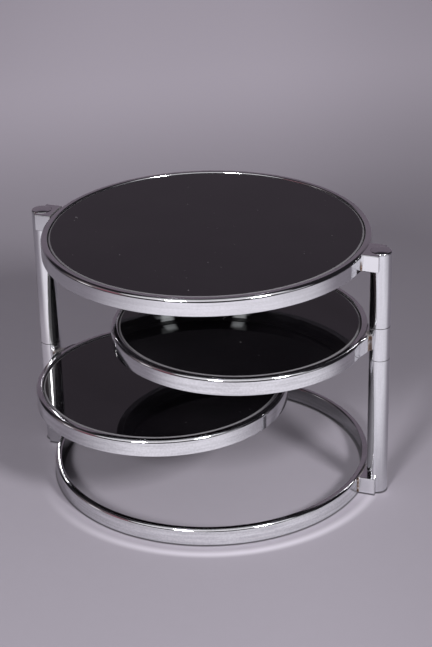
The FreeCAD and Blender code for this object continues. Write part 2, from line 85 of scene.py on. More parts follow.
class Signal:
    """A node's output socket that can be used in Python expressions."""

    def __init__(self, paint: "Paint", socket: bpy.types.NodeSocket) -> None:
        """Wrap an output socket of the paint's node tree."""
        self.paint = paint
        self.socket = socket

    def _math(self, operation: str, *values: Number) -> "Signal":
        """Return what a Math node makes of the values."""
        return self.paint.signal("ShaderNodeMath", 0, {"operation": operation}, dict(enumerate(values)))

    def __add__(self, other: Number) -> "Signal":
        """Return self + other."""
        return self._math("ADD", self, other)

    __radd__ = __add__

    def __sub__(self, other: Number) -> "Signal":
        """Return self - other."""
        return self._math("SUBTRACT", self, other)

    def __rsub__(self, other: Number) -> "Signal":
        """Return other - self."""
        return self._math("SUBTRACT", other, self)

    def __mul__(self, other: Number) -> "Signal":
        """Return self * other."""
        return self._math("MULTIPLY", self, other)

    __rmul__ = __mul__

    def __pow__(self, other: Number) -> "Signal":
        """Return self to the power of other."""
        return self._math("POWER", self, other)

    def at_most(self, other: Number) -> "Signal":
        """Return the smaller of the two."""
        return self._math("MINIMUM", self, other)

    def at_least(self, other: Number) -> "Signal":
        """Return the larger of the two."""
        return self._math("MAXIMUM", self, other)

    def held(self, low: float = 0.0, high: float = 1.0) -> "Signal":
        """Return self held between two values."""
        return self.at_least(low).at_most(high)

    def absolute(self) -> "Signal":
        """Return the distance from zero."""
        return self._math("ABSOLUTE", self)

    def ramp(self, start: float, end: float) -> "Signal":
        """Rise smoothly from 0 at the start value to 1 at the end value, which may be the lower one."""
        sockets = {"Value": self, "From Min": start, "From Max": end}
        return self.paint.signal("ShaderNodeMapRange", 0, {"interpolation_type": "SMOOTHSTEP"}, sockets)


class Paint:
    """Builds the node tree of one material or world."""

    def __init__(self, tree: bpy.types.NodeTree, coordinates: str = "Object") -> None:
        """Start with an empty tree and the coordinates that its patterns follow.

        Args:
            tree: The node tree to fill.
            coordinates: Object for a piece, in the table's own frame, or Generated for the world.
        """
        self.tree = tree
        tree.nodes.clear()
        self.here = self.signal("ShaderNodeTexCoord", coordinates)

    def node(self, kind: str, settings: Settings = None, sockets: Sockets = None) -> bpy.types.Node:
        """Add a node, set it up and fill its sockets.

        Args:
            kind: The node's type.
            settings: Attributes of the node. "stops" fills a colour ramp with (place, colour) pairs.
            sockets: Numbers, colours, vectors or signals by input name or number.

        Returns:
            The new node.
        """
        node = self.tree.nodes.new(kind)
        for name, value in (settings or {}).items():
            if name == "stops":
                elements = node.color_ramp.elements
                while len(elements) < len(value):
                    elements.new(0.5)
                for element, (place, colour) in zip(elements, value):
                    element.position = place
                    element.color = (*colour, 1.0)
            else:
                setattr(node, name, value)
        for name, value in (sockets or {}).items():
            socket = node.inputs[name]
            if isinstance(value, Signal):
                self.tree.links.new(value.socket, socket)
            else:
                socket.default_value = (*value, 1.0) if socket.type == "RGBA" else value
        return node

    def signal(
        self, kind: str, output: Union[str, int], settings: Settings = None, sockets: Sockets = None
    ) -> Signal:
        """Add a node as node does, and return one of its outputs by its name or number."""
        return Signal(self, self.node(kind, settings, sockets).outputs[output])

    def vector(self, operation: str, *values: Tone, output: Union[str, int] = 0) -> Signal:
        """Return what a Vector Math node makes of vectors or colours."""
        return self.signal("ShaderNodeVectorMath", output, {"operation": operation}, dict(enumerate(values)))

    def ray(self, kind: str) -> Signal:
        """Return 1 for rays of a kind, such as Glossy, and 0 for all others."""
        return self.signal("ShaderNodeLightPath", f"Is {kind} Ray")

    def axis(self, name: str) -> Signal:
        """Return the X, Y or Z part of the place."""
        return self.signal("ShaderNodeSeparateXYZ", name, {}, {"Vector": self.here})

    def along(self, vector: Signal, way: Sequence[float]) -> Signal:
        """Return how far a vector reaches in a direction."""
        return self.vector("DOT_PRODUCT", vector, tuple(way), output="Value")

    def beside(self, axis: Plan) -> Signal:
        """Return the level vector to the place from an upright axis."""
        return self.vector("MULTIPLY", self.vector("SUBTRACT", self.here, (*axis, 0.0)), (1.0, 1.0, 0.0))

    def distance(self, axis: Plan = (0.0, 0.0)) -> Signal:
        """Return how far the place is from an upright axis, in metres."""
        return self.vector("LENGTH", self.beside(axis), output="Value")

    def facing(self, heading: float, axis: Plan = (0.0, 0.0)) -> Signal:
        """Return the cosine between a heading and the way out from an upright axis to the place."""
        return self.along(self.vector("NORMALIZE", self.beside(axis)), direction_of(heading))

    def blend(self, factor: Number, first: Tone, second: Tone) -> Signal:
        """Mix two colours. A factor of 0 gives the first and 1 the second."""
        # inputs 0, 6 and 7 of a colour Mix are its factor and colours, and output 2 is their mix
        return self.signal("ShaderNodeMix", 2, {"data_type": "RGBA"}, {0: factor, 6: first, 7: second})

    def bump(self, height: Signal, depth: float) -> Signal:
        """Return a normal tilted by a height, of which one unit is as deep as given, in metres."""
        return self.signal("ShaderNodeBump", 0, {}, {"Height": height, "Distance": depth})

    def surface(self, sockets: dict[str, Union[Number, Tone]]) -> None:
        """Finish the tree with a Principled shader whose sockets are filled by name."""
        shader = self.signal("ShaderNodeBsdfPrincipled", 0, {}, sockets)
        self.node("ShaderNodeOutputMaterial", {}, {"Surface": shader})


@dataclass(frozen=True)
class Pattern:
    """A noise pattern.

    Its fields are the bumps per metre, the octaves, the band of values that rises from 0 to 1, the
    weight of the result and of the finer octaves, and factors along X, Y and Z.
    """

    scale: float
    detail: float
    band: Optional[Band] = None
    weight: float = 1.0
    finer: float = 0.55
    stretch: Optional[tuple[float, float, float]] = None

    def on(self, paint: Paint) -> Signal:
        """Lay the pattern over a piece.

        Args:
            paint: The piece's paint.

        Returns:
            The pattern's value from place to place.
        """
        here = paint.here
        if self.stretch is not None:
            here = paint.signal("ShaderNodeMapping", 0, {}, {"Vector": here, "Scale": self.stretch})
        sockets = {"Vector": here, "Scale": self.scale, "Detail": self.detail, "Roughness": self.finer}
        value = paint.signal("ShaderNodeTexNoise", "Fac", {}, sockets)
        if self.band is not None:
            value = value.ramp(*self.band)
        return value if self.weight == 1.0 else value * self.weight


@dataclass(frozen=True)
class PaintedGlints:
    """Painted reflections of the lamps: glowing marks at the headings at which a round piece throws the lamps
    into another mirror.

    They rise from the first to the second of the radii and levels, and only mirrors see them.
    """

    headings: tuple[float, ...]
    axis: Plan
    colour: Colour
    radii: Band
    levels: Optional[Band] = None
    spread: float = 3.3
    core: float = 0.3

    def light(self, paint: Paint) -> Signal:
        """Light up the marks.

        Args:
            paint: The piece's paint.

        Returns:
            The colour of the light that the piece gives off.
        """
        edges = cone(self.spread, self.core)
        marks = (paint.facing(heading, self.axis).ramp(*edges) for heading in self.headings)
        shown = reduce(Signal.at_least, marks) * paint.ray("Glossy")
        shown = shown * paint.distance(self.axis).ramp(*self.radii)
        if self.levels is not None:
            shown = shown * paint.axis("Z").ramp(*self.levels)
        return paint.blend(shown, BLACK, self.colour)


# Finishes


@dataclass(frozen=True)
class Finish:
    """A surface finish that is made into one material."""

    name: str

    def coat(self, paint: Paint) -> None:
        """Fill the node tree. Each kind of finish has its own."""
        raise NotImplementedError

    def material(self) -> bpy.types.Material:
        """Make this finish into a material on its first use.

        Returns:
            The material.
        """
        title = f"{self.name}_finish"
        found = bpy.data.materials.get(title)
        if found is None:
            found = bpy.data.materials.new(title)
            found.use_nodes = True
            self.coat(Paint(found.node_tree))
        return found


@dataclass(frozen=True)
class Chrome(Finish):
    """Old bright chromium plate: smudged, faintly rippled, with rust where it was welded."""

    colour: Colour = (0.66, 0.66, 0.675)
    gloss: float = 0.055
    smudge: float = 0.075
    clouds: Pattern = Pattern(9.0, 4.0, (0.42, 0.72), 0.6)
    wipes: Pattern = Pattern(160.0, 3.0, (0.45, 0.75), 0.4, stretch=(1.0, 1.0, 0.12))
    dull_tone: float = 0.93
    dull_share: float = 0.5
    streaks: float = 0.0
    streak: Pattern = Pattern(1.0, 4.0, (0.36, 0.64), 0.65, 0.6, (12.0, 12.0, 190.0))
    dark_mottle: Pattern = Pattern(300.0, 2.0, (0.35, 0.65), 0.35)
    # painted light: how far the plate is lightened towards white below the levels
    polished: float = 0.0
    lit_low_levels: Band = (0.335, 0.235)
    pits: Pattern = Pattern(520.0, 2.0, (0.735, 0.775), 0.75)
    pitted: Pattern = Pattern(9.0, 4.0, (0.4, 0.6))
    rust_axis: Optional[Plan] = None
    rust_radius: float = 0.0
    rust_reach: float = 5 * MM
    rust_core: float = 0.3
    rust_amount: float = 1.0
    rust_levels: Band = (2.0, 1.0)
    rust_least: float = 0.5
    rust_patches: Pattern = Pattern(150.0, 4.0, (0.34, 0.62), 0.6)
    rust_dark: Colour = (0.045, 0.018, 0.009)
    rust_light: Colour = (0.14, 0.075, 0.042)
    rust_stains: Pattern = Pattern(330.0, 3.0, (0.4, 0.62))
    rust_cover: float = 0.92
    rust_roughness: float = 0.55
    ripples: Pattern = Pattern(42.0, 2.0, weight=0.6)
    grain: Pattern = Pattern(900.0, 2.0, weight=0.22)
    relief: float = 0.06 * MM
    glints: Optional[PaintedGlints] = None

    def coat(self, paint: Paint) -> None:
        """Fill the node tree with plate, smudges, pits and rust.

        Args:
            paint: The piece's paint.
        """
        dull = (self.clouds.on(paint) + self.wipes.on(paint)).held()
        rust = self.pits.on(paint) * self.pitted.on(paint)
        if self.rust_axis is not None:
            rust = rust.at_least(self.weld_rust(paint))
        stain = paint.blend(self.rust_stains.on(paint), self.rust_dark, self.rust_light)
        paint.surface({
            "Base Color": paint.blend(rust, self.plate(paint, dull), stain),
            "Metallic": 1.0 - rust * self.rust_cover,
            "Roughness": (self.gloss + dull * self.smudge + rust * self.rust_roughness).held(),
            "Normal": paint.bump(self.ripples.on(paint) + self.grain.on(paint), self.relief),
            # painted lamp reflections, which glow for mirrored rays only
            "Emission Color": self.glints.light(paint) if self.glints else BLACK,
            "Emission Strength": 1.0,
        })

    def plate(self, paint: Paint, dull: Signal) -> Signal:
        """Tone the bare plate with smudges, streaks and painted light that lightens it below a level.

        Args:
            paint: The piece's paint.
            dull: How smudged the plate is.

        Returns:
            The plate's colour.
        """
        worn = tuple(part * self.dull_tone for part in self.colour)
        colour = paint.blend(dull * self.dull_share, self.colour, worn)
        # darker streaks and mottling laid over the plate
        if self.streaks:
            dark_streaking = self.streak.on(paint) + self.dark_mottle.on(paint)
            colour = paint.blend(dark_streaking * self.streaks, colour, BLACK)
        # painted light: lighten the plate towards white below a level
        if self.polished:
            lit_low = paint.axis("Z").ramp(*self.lit_low_levels) * self.polished
            colour = paint.blend(lit_low, colour, WHITE)
        return colour

    def weld_rust(self, paint: Paint) -> Signal:
        """Spread rust along the weld round an upright axis.

        Args:
            paint: The piece's paint.

        Returns:
            How rusty the plate is, from 0 to 1.
        """
        away = (paint.distance(self.rust_axis) - self.rust_radius).absolute()
        near = away.ramp(self.rust_reach, self.rust_reach * self.rust_core)
        level = paint.axis("Z").ramp(*self.rust_levels) * self.rust_amount
        return (near * (self.rust_least + self.rust_patches.on(paint)) * level).held()


@dataclass(frozen=True)
class BlackGlass(Finish):
    """Polished black plate glass with a little dust and a few wiping marks."""

    axis: Plan
    polished_radius: float
    colour: Colour = (0.0035, 0.003, 0.004)
    gloss: float = 0.012
    refraction: float = 1.52
    ground_colour: Colour = (0.16, 0.155, 0.165)
    ground_edge: float = 0.3 * MM
    ground_least: float = 0.7
    ground_grain: Pattern = Pattern(180.0, 3.0, weight=0.6)
    ground_roughness: float = 0.45
    haze: Pattern = Pattern(6.0, 4.0, (0.4, 0.75))
    haze_film: float = 0.006
    haze_roughness: float = 0.02
    dust_colour: Colour = (0.42, 0.4, 0.42)
    specks: Pattern = Pattern(260.0, 1.0, (0.79, 0.83), finer=0.4)
    scatter: Pattern = Pattern(23.0, 2.0, (0.5, 0.6))
    dust_roughness: float = 0.5
    glints: Optional[PaintedGlints] = None

    def coat(self, paint: Paint) -> None:
        """Fill the node tree with glass, haze, dust and the ground edge.

        Args:
            paint: The piece's paint.
        """
        ground = paint.distance(self.axis).ramp(self.polished_radius, self.polished_radius + self.ground_edge)
        worn = (ground * (self.ground_least + self.ground_grain.on(paint))).held()
        haze = self.haze.on(paint)
        dust = self.specks.on(paint) * self.scatter.on(paint)
        polished = paint.blend((dust + haze * self.haze_film).held(), self.colour, self.dust_colour)
        rough = haze * self.haze_roughness + dust * self.dust_roughness + ground * self.ground_roughness
        paint.surface({
            "Base Color": paint.blend(worn, polished, self.ground_colour),
            "Roughness": (self.gloss + rough).held(),
            "IOR": self.refraction,
            # painted lamp reflections, which glow for mirrored rays only
            "Emission Color": self.glints.light(paint) if self.glints else BLACK,
            "Emission Strength": 1.0,
        })


@dataclass(frozen=True)
class Moulded(Finish):
    """A plain moulded plastic with a fine texture and pale scuffs."""

    colour: Colour
    gloss: float
    metal: float = 0.0
    texture: Pattern = Pattern(700.0, 3.0)
    texture_roughness: float = 0.15
    relief: float = 0.04 * MM
    marks: Pattern = Pattern(60.0, 4.0, (0.5, 0.75), 0.6)
    mark_roughness: float = 0.2
    mark_gain: float = 1.5
    mark_lift: float = 0.015

    def coat(self, paint: Paint) -> None:
        """Fill the node tree with the texture and the marks.

        Args:
            paint: The piece's paint.
        """
        fine, mark = self.texture.on(paint), self.marks.on(paint)
        other = tuple(min(1.0, part * self.mark_gain + self.mark_lift) for part in self.colour)
        rough = self.gloss + fine * self.texture_roughness + mark * self.mark_roughness
        paint.surface({
            "Base Color": paint.blend(mark, self.colour, other),
            "Metallic": self.metal,
            "Roughness": rough.held(),
            "Normal": paint.bump(fine, self.relief),
        })


@dataclass(frozen=True)
class Satin(Moulded):
    """Painted or zinc plated steel out of sight, with dark blotches."""

    gloss: float = 0.35
    metal: float = 1.0
    texture: Pattern = Pattern(600.0, 2.0)
    texture_roughness: float = 0.08
    relief: float = 0.03 * MM
    marks: Pattern = Pattern(45.0, 4.0, (0.35, 0.7))
    mark_roughness: float = 0.15
    mark_gain: float = 0.72
    mark_lift: float = 0.0


# Modelling


class Element(Enum):
    """What can be picked on a mesh."""

    FACES = "FACE"
    EDGES = "EDGE"


class Bench:
    """Shapes one new piece at a time with Blender's own operators."""

    def __init__(self, name: str) -> None:
        """Clear the selection, so that operators act on the new piece alone.

        Args:
            name: The piece's name.
        """
        self.name = name
        if bpy.context.mode != "OBJECT":
            bpy.ops.object.mode_set(mode="OBJECT")
        bpy.ops.object.select_all(action="DESELECT")

    @property
    def piece(self) -> bpy.types.Object:
        """The object on the bench."""
        return bpy.context.view_layer.objects.active

    def cylinder(self, radius: float, centre: Plan, low: float, high: float, sides: int) -> None:
        """Put an upright cylinder on the bench, from one level to another round an axis in plan."""
        place = (*centre, (low + high) / 2)
        bpy.ops.mesh.primitive_cylinder_add(vertices=sides, radius=radius, depth=high - low, location=place)

    def pick(self, element: Element, test: Callable[[object], bool]) -> None:
        """Select the faces or edges that pass a test, and nothing else.

        Args:
            element: Faces or edges.
            test: Says whether one is taken. Places are in the piece's own space.
        """
        if bpy.context.mode != "EDIT_MESH":
            bpy.ops.object.mode_set(mode="EDIT")
        bpy.ops.mesh.select_mode(type=element.value)
        bpy.ops.mesh.select_all(action="DESELECT")
        mesh = bmesh.from_edit_mesh(self.piece.data)
        taken = [part for part in (mesh.faces if element is Element.FACES else mesh.edges) if test(part)]
        if not taken:
            raise RuntimeError(f"{self.name}: nothing was picked")
        for part in taken:
            part.select_set(True)
        mesh.select_flush_mode()
        bmesh.update_edit_mesh(self.piece.data)

    def bevel(self, test: EdgeTest, width: float, segments: int) -> None:
        """Round the edges that pass a test, with a radius in metres and so many faces round the corner."""
        self.pick(Element.EDGES, test)
        bpy.ops.mesh.bevel(offset=width, offset_type="OFFSET", segments=segments, profile=0.5, affect="EDGES")

    def modify(self, kind: str, **settings: object) -> None:
        """Add a modifier, set it up and apply it.

        Args:
            kind: The modifier's type.
            settings: Its attributes.
        """
        bpy.ops.object.modifier_add(type=kind)
        modifier = self.piece.modifiers[-1]
        for name, value in settings.items():
            setattr(modifier, name, value)
        bpy.ops.object.modifier_apply(modifier=modifier.name)

    def carve(self, *shape: object) -> None:
        """Cut an upright cylinder out of the piece.

        Args:
            shape: The radius, centre, levels and sides that cylinder takes.
        """
        if bpy.context.mode == "EDIT_MESH":
            bpy.ops.object.mode_set(mode="OBJECT")
        piece = self.piece
        bpy.ops.object.select_all(action="DESELECT")
        self.cylinder(*shape)
        cutter = self.piece
        bpy.ops.object.select_all(action="DESELECT")
        piece.select_set(True)
        bpy.context.view_layer.objects.active = piece
        self.modify("BOOLEAN", operation="DIFFERENCE", object=cutter, solver="EXACT")
        bpy.data.objects.remove(cutter)

    def finish(self, angle: float) -> bpy.types.Object:
        """Leave edit mode, put the place into the mesh and smooth the shading.

        Args:
            angle: Edges sharper than this, in degrees, stay sharp.

        Returns:
            The finished object at the origin.
        """
        if bpy.context.mode == "EDIT_MESH":
            bpy.ops.mesh.select_all(action="SELECT")
            bpy.ops.mesh.normals_make_consistent(inside=False)
            bpy.ops.object.mode_set(mode="OBJECT")
        bpy.ops.object.transform_apply(location=True, rotation=True, scale=True)
        bpy.ops.object.shade_smooth_by_angle(angle=math.radians(angle))
        self.modify("WEIGHTED_NORMAL", keep_sharp=True, weight=60)
        piece = self.piece
        piece.name = self.name
        piece.data.name = self.name
        return piece


@dataclass
class RoundTube:
    """A round hollow piece with a vertical axis: a table ring, or a tube of a post.

    Its four edges have their own roundings, in the order upper outer, upper inner, lower outer, lower inner.
    """

    name: str
    centre: Plan
    outer: float
    inner: float
    low: float
    high: float
    roundings: tuple[float, float, float, float]
    steps: Steps
    sides: int = 256
    sharp: float = 40.0

    def build(self) -> bpy.types.Object:
        """Model the tube from a cylinder.

        Returns:
            The finished object.
        """
        bench = Bench(self.name)
        half = (self.high - self.low) / 2
        bench.cylinder(self.outer, self.centre, self.low, self.high, self.sides)
        bench.pick(Element.FACES, lambda face: abs(face.normal.z) > STRAIGHT)
        bpy.ops.mesh.inset(thickness=self.outer - self.inner, use_even_offset=True)
        bpy.ops.mesh.bridge_edge_loops()
        split = (self.outer + self.inner) / 2
        corners = ((1, True), (1, False), (-1, True), (-1, False))
        for (side, outside), width, steps in zip(corners, self.roundings, self.steps):

            def on_corner(edge: bmesh.types.BMEdge) -> bool:
                """Say whether an edge lies on this corner of the section."""
                flat = all(abs(vertex.co.z - side * half) < CLOSE for vertex in edge.verts)
                first, second = (vertex.co.xy.length for vertex in edge.verts)
                return flat and abs(first - second) < CLOSE and (first > split) == outside

            bench.bevel(on_corner, width, steps)
        return bench.finish(self.sharp)


@dataclass
class GlassPlate:
    """A round plate with a bevelled upper edge and a small arris below."""

    name: str
    centre: Plan
    radius: float
    low: float
    high: float
    bevel: float = 3 * MM
    bevel_drop: float = 1.4 * MM
    arris: float = 0.7 * MM
    polish: float = 0.25 * MM
    sides: int = 256
    sharp: float = 25.0

    def build(self) -> bpy.types.Object:
        """Model the plate from a cylinder.

        Returns:
            The finished object.
        """
        bench = Bench(self.name)
        bench.cylinder(self.radius, self.centre, self.low, self.high, self.sides)
        bench.pick(Element.FACES, lambda face: face.normal.z > STRAIGHT)
        bpy.ops.mesh.inset(thickness=self.bevel, use_even_offset=True)
        half = (self.high - self.low) / 2
        edge = self.radius - self.bevel / 2
        flat = self.radius - self.bevel - 1 * MM
        drop = half - self.bevel_drop

        def on_rim(side: int) -> EdgeTest:
            """Return a test for the upper (1) or lower (-1) outer edges."""
            return lambda part: all(
                vertex.co.z * side > half - CLOSE and vertex.co.xy.length > edge for vertex in part.verts
            )

        def on_bevel(part: bmesh.types.BMEdge) -> bool:
            """Say whether an edge borders the bevel."""
            first, second = (vertex.co for vertex in part.verts)
            top = first.z > half - CLOSE and first.xy.length > flat
            return abs(first.z - second.z) < CLOSE and (top or abs(first.z - drop) < CLOSE)

        bench.pick(Element.EDGES, on_rim(1))
        bpy.ops.transform.translate(value=(0, 0, -self.bevel_drop))
        bench.bevel(on_rim(-1), self.arris, 1)
        bench.bevel(on_bevel, self.polish, 2)
        return bench.finish(self.sharp)


@dataclass
class PostCap:
    """The shallow domed cap of a post."""

    name: str
    centre: Plan
    radius: float
    low: float
    rim: float = 4 * MM
    dome: float = 2 * MM
    rounding: float = 2.4 * MM
    seam: float = 0.5 * MM
    rings: int = 7
    sides: int = 128
    sharp: float = 60.0

    def build(self) -> bpy.types.Object:
        """Model the cap from a short cylinder whose top is inset and raised in steps.

        Returns:
            The finished object.
        """
        bench = Bench(self.name)
        bench.cylinder(self.radius, self.centre, self.low, self.low + self.rim, self.sides)

        def at_height(level: float) -> EdgeTest:
            """Return a test for the outer edges at a level."""
            return lambda edge: all(abs(vertex.co.z - level) < CLOSE for vertex in edge.verts)

        bench.bevel(at_height(-self.rim / 2), self.seam, 2)
        bench.bevel(at_height(self.rim / 2), self.rounding, 5)
        flat = self.radius - self.rounding
        sphere = (flat**2 + self.dome**2) / (2 * self.dome)
        bench.pick(Element.FACES, lambda face: face.normal.z > STRAIGHT)
        reach, height = flat, 0.0
        for step in range(1, self.rings + 1):
            wanted = flat * (1 - step / (self.rings + 1))
            rise = math.sqrt(sphere**2 - wanted**2) - (sphere - self.dome)
            bpy.ops.mesh.inset(thickness=reach - wanted, use_even_offset=True)
            bpy.ops.transform.translate(value=(0, 0, rise - height))
            reach, height = wanted, rise
        return bench.finish(self.sharp)


@dataclass
class Coped:
    """What both kinds of bracket share: a slab from a ring to a post that is cut to fit both."""

    POST_SIDES: ClassVar[int] = 128
    RING_SIDES: ClassVar[int] = 512
    SHARP: ClassVar[float] = 35.0

    name: str
    ring_centre: Plan
    ring_radius: float
    post_centre: Plan
    post_radius: float
    low: float
    high: float

    @property
    def height(self) -> float:
        """The slab's height."""
        return self.high - self.low

    @property
    def way(self) -> Vector:
        """The line in plan from the ring's axis to the post's."""
        return Vector(self.post_centre) - Vector(self.ring_centre)

    def slab(self, near: float, length: float, width: float) -> Bench:
        """Start from a cube that lies along the line to the post.

        Args:
            near: How far from the ring's axis it starts.
            length: Its length along the line.
            width: Its width across the line.

        Returns:
            The bench with the slab on it.
        """
        bench = Bench(self.name)
        heading = self.way.normalized()
        middle = Vector(self.ring_centre) + heading * (near + length / 2)
        bpy.ops.mesh.primitive_cube_add(size=1, location=(middle.x, middle.y, self.low + self.height / 2))
        bench.piece.scale = (length, width, self.height)
        bench.piece.rotation_euler = (0, 0, math.atan2(heading.y, heading.x))
        bpy.ops.object.transform_apply(location=False, rotation=False, scale=True)
        return bench

    def cope(self, bench: Bench) -> bpy.types.Object:
        """Cut the post and the ring out of the bracket.

        Args:
            bench: The bench with the bracket on it.

        Returns:
            The finished object.
        """
        low, high = self.low - 1.5 * self.height, self.low + 1.5 * self.height
        bench.carve(self.post_radius, self.post_centre, low, high, self.POST_SIDES)
        bench.carve(self.ring_radius, self.ring_centre, low, high, self.RING_SIDES)
        return bench.finish(self.SHARP)


@dataclass
class Flare(Coped):
    """A bracket whose flanks spread from the sleeve until they graze the ring, with the ring's own crown."""

    grip: float = 35.4
    foot: float = 14.5
    bite: float = 2 * MM
    run_on: float = 0.06
    crown: float = 5 * MM
    crown_steps: int = 8
    rounding: float = 1.5 * MM
    rounding_steps: int = 3

    def build(self) -> bpy.types.Object:
        """Model the bracket from a slab whose end at the ring is widened.

        Returns:
            The finished object.
        """
        grip, foot = math.radians(self.grip), math.radians(self.foot)
        seat = Vector((self.way.length, 0.0)) + Vector((-math.cos(grip), math.sin(grip))) * self.post_radius
        far = Vector((math.cos(foot), math.sin(foot))) * (self.ring_radius - self.bite)
        end = seat + (seat - far) * self.run_on
        length = end.x - far.x
        bench = self.slab(far.x, length, end.y * 2)
        bench.pick(Element.FACES, lambda face: face.normal.x < -STRAIGHT)
        bpy.ops.transform.resize(value=(1, far.y / end.y, 1), orient_type="LOCAL")

        def at_level(side: int) -> EdgeTest:
            """Return a test for the edges of the top (1) or bottom (-1) that don't lie at the ring."""
            return lambda edge: (
                all(abs(vertex.co.z - side * self.height / 2) < CLOSE for vertex in edge.verts)
                and max(vertex.co.x for vertex in edge.verts) > length / 2 - CLOSE
            )

        bench.bevel(at_level(1), self.crown, self.crown_steps)
        bench.bevel(at_level(-1), self.rounding, self.rounding_steps)
        return self.cope(bench)


@dataclass
class Block(Coped):
    """A bracket that is a rounded block and reaches a little past the post's axis."""

    width: float = 56 * MM
    wrap: float = 3 * MM
    overlap: float = 6 * MM
    rounding: float = 1.8 * MM
    rounding_steps: int = 4

    def build(self) -> bpy.types.Object:
        """Model the block from a slab.

        Returns:
            The finished object.
        """
        near = self.ring_radius - self.overlap
        length = self.way.length + self.wrap - near
        bench = self.slab(near, length, self.width)

        def is_outer(edge: bmesh.types.BMEdge) -> bool:
            """Say whether an edge runs along the block or round its outer end."""
            first, second = (vertex.co for vertex in edge.verts)
            return abs(first.x - second.x) > CLOSE or min(first.x, second.x) > length / 2 - CLOSE

        bench.bevel(is_outer, self.rounding, self.rounding_steps)
        return self.cope(bench)


# The table


class Body(Enum):
    """The parts of the table that move as one."""

    FRAME = "frame"
    MIDDLE = "middle_tier"
    LOWER = "lower_tier"


class Slot(Enum):
    """The record's material slots."""

    RINGS = "ring_chrome"
    POSTS = "post_chrome"
    BRACKETS = "bracket_chrome"
    GLASS = "black_glass"


def middle_of(node: str) -> Plan:
    """Return the centre of a CAD node in plan."""
    low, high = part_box(node)
    return ((low.x + high.x) / 2, (low.y + high.y) / 2)


def levels_of(node: str) -> Band:
    """Return the lowest and highest level of a CAD node."""
    low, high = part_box(node)
    return (low.z, high.z)


def dress(piece: bpy.types.Object, finish: Finish, body: Body, slot: Slot, *nodes: str) -> None:
    """Give a new piece its finish and its place in the table.

    Args:
        piece: The new object.
        finish: What it is covered with.
        body: The body it moves with.
        slot: The record's slot for it. It is not used.
        nodes: The CAD nodes that it stands for.
    """
    piece.data.materials.clear()
    piece.data.materials.append(finish.material())
    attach(piece, body.value)
    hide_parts(*nodes)
    LOG.info("%s stands for %s", piece.name, ", ".join(nodes))


@dataclass
class TableTop:
    """One ring with the glass that lies in it. The base ring has no glass."""

    prefix: str
    body: Body
    diameter: float
    glazed: bool = True
    # headings of the painted lamp reflections on the ring's inner wall and under the glass
    glints: tuple[float, ...] = ()
    # strength of the darker streaks; the top ring gets less than the lower rings
    streaks: float = 0.24
    ring_width: float = 12.5 * MM
    crown: float = 6.8 * MM
    edge: float = 1.2 * MM
    inner_edge: float = 2.9 * MM
    steps: Steps = (12, 7, 3, 3)
    # colours and extents of the painted lamp reflections
    ring_glint: Colour = (1.5, 1.55, 1.6)
    ring_fade: float = 0.6 * MM
    glass_gap: float = 2 * MM
    glass_glint: Colour = (0.8, 0.83, 0.86)
    glass_glint_radii: Band = (0.243, 0.262)
    glass_fade: float = 0.2 * MM

    def build(self) -> None:
        """Model the ring and its glass and dress them."""
        node = f"{self.prefix}_ring"
        centre = middle_of(node)
        radius = self.diameter / 2
        inner = radius - self.ring_width
        roundings = (self.crown, self.inner_edge, self.edge, self.edge)
        ring = RoundTube(f"{node}_tube", centre, radius, inner, *levels_of(node), roundings, self.steps)
        chrome = Chrome(f"{node}_chrome", streaks=self.streaks)
        if self.glints:
            edge = (inner + self.ring_fade, inner)
            chrome = replace(chrome, glints=PaintedGlints(self.glints, centre, self.ring_glint, edge))
        dress(ring.build(), chrome, self.body, Slot.RINGS, node)
        if self.glazed:
            self.glaze(centre, inner - self.glass_gap)

    def glaze(self, centre: Plan, rim: float) -> None:
        """Model the glass and dress it.

        Args:
            centre: The ring's axis in plan.
            rim: The radius of the glass.
        """
        node = f"{self.prefix}_glass"
        low, high = levels_of(node)
        plate = GlassPlate(f"{node}_plate", centre, rim, low, high)
        black = BlackGlass(f"{node}_black", centre, rim - plate.bevel)
        if self.glints:
            top = low + plate.arris
            glints = PaintedGlints(
                self.glints, centre, self.glass_glint, self.glass_glint_radii, (top + self.glass_fade, top)
            )
            black = replace(black, glints=glints)
        dress(plate.build(), black, self.body, Slot.GLASS, node)


@dataclass
class Post:
    """A post: lower tube, sleeve and upper tube in one line, with a cap on top."""

    side: str
    tier: str
    tier_body: Body
    colour: Colour = (0.62, 0.62, 0.64)
    gloss: float = 0.09
    smudge: float = 0.08
    streaks: float = 0.1
    streak: Pattern = replace(Chrome.streak, stretch=(260.0, 260.0, 14.0))
    # painted light: how far the sleeve and upper tube are lightened towards white low down
    polished: float = 0.0
    radius: float = 19 * MM
    wall: float = 1.5 * MM
    seam: float = 0.12 * MM
    inner_seam: float = 0.2 * MM
    steps: Steps = (2, 1, 2, 1)
    sides: int = 128
    cap_height: float = 6 * MM

    def build(self) -> None:
        """Model the three tubes and the cap and dress them."""
        name = f"{self.side}_post_chrome"
        finish = Chrome(name, self.colour, self.gloss, self.smudge, streaks=self.streaks, streak=self.streak)
        lit_low = replace(finish, name=f"{name}_rubbed", polished=self.polished)
        roundings = (self.seam, self.inner_seam, self.seam, self.inner_seam)
        inner = self.radius - self.wall
        pieces = (
            (f"{self.side}_lower_tube", Body.FRAME, finish),
            (f"{self.side}_upper_tube", Body.FRAME, lit_low),
            (f"{self.tier}_sleeve", self.tier_body, lit_low),
        )
        for node, body, plate in pieces:
            span = (middle_of(node), self.radius, inner, *levels_of(node))
            tube = RoundTube(f"{node}_plated", *span, roundings, self.steps, self.sides)
            dress(tube.build(), plate, body, Slot.POSTS, node)
        cap_node = f"{self.side}_cap"
        top = levels_of(cap_node)[1]
        cap = PostCap(f"{cap_node}_domed", middle_of(cap_node), self.radius, top - self.cap_height)
        dress(cap.build(), finish, Body.FRAME, Slot.POSTS, cap_node)


